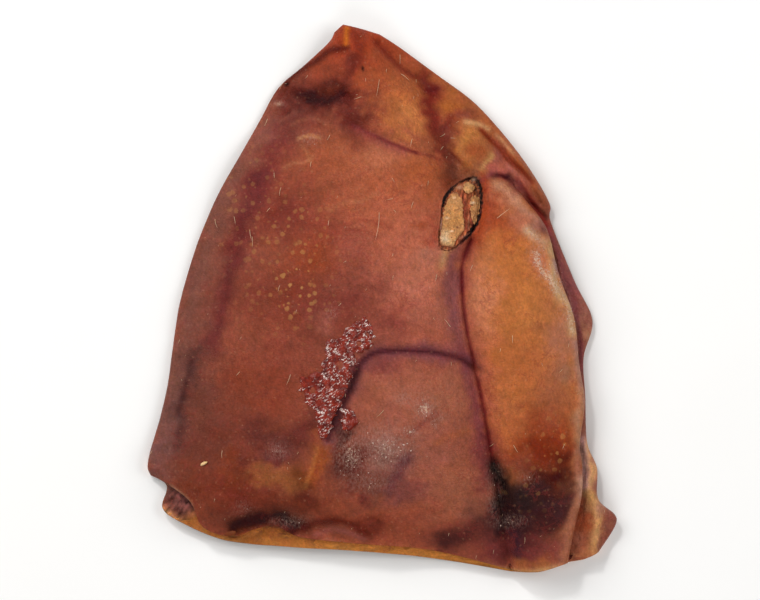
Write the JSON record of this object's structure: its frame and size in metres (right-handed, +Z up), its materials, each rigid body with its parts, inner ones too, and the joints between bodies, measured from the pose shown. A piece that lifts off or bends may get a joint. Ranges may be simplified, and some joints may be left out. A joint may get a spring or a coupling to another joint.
{
  "type": "dried pig ear",
  "caption": "Dried ear flap: a leathery arched sheet with a folded pleat down one side, a cut base edge and an oval wound that shows gristle. It lies flat, outer side up.",
  "frame": {"origin": "on the table, under the middle of the outline as seen from above", "axes": "+Y from the cut base towards the tip, +Z up out of the outer side, +X towards the folded side"},
  "size_m": [0.1413, 0.1653, 0.018],
  "materials": {
    "skin": "dried skin, reddish brown to orange tan with dark purple creases, slightly greasy",
    "gristle": "dry, granular, tan cut face of the gristle in the wound",
    "glaze": "dark red dried juice, glossy and pitted",
    "bristle": "short pale bristle stubs"
  },
  "bodies": {
    "root": {"ear": "skin"}
  },
  "joints": []
}
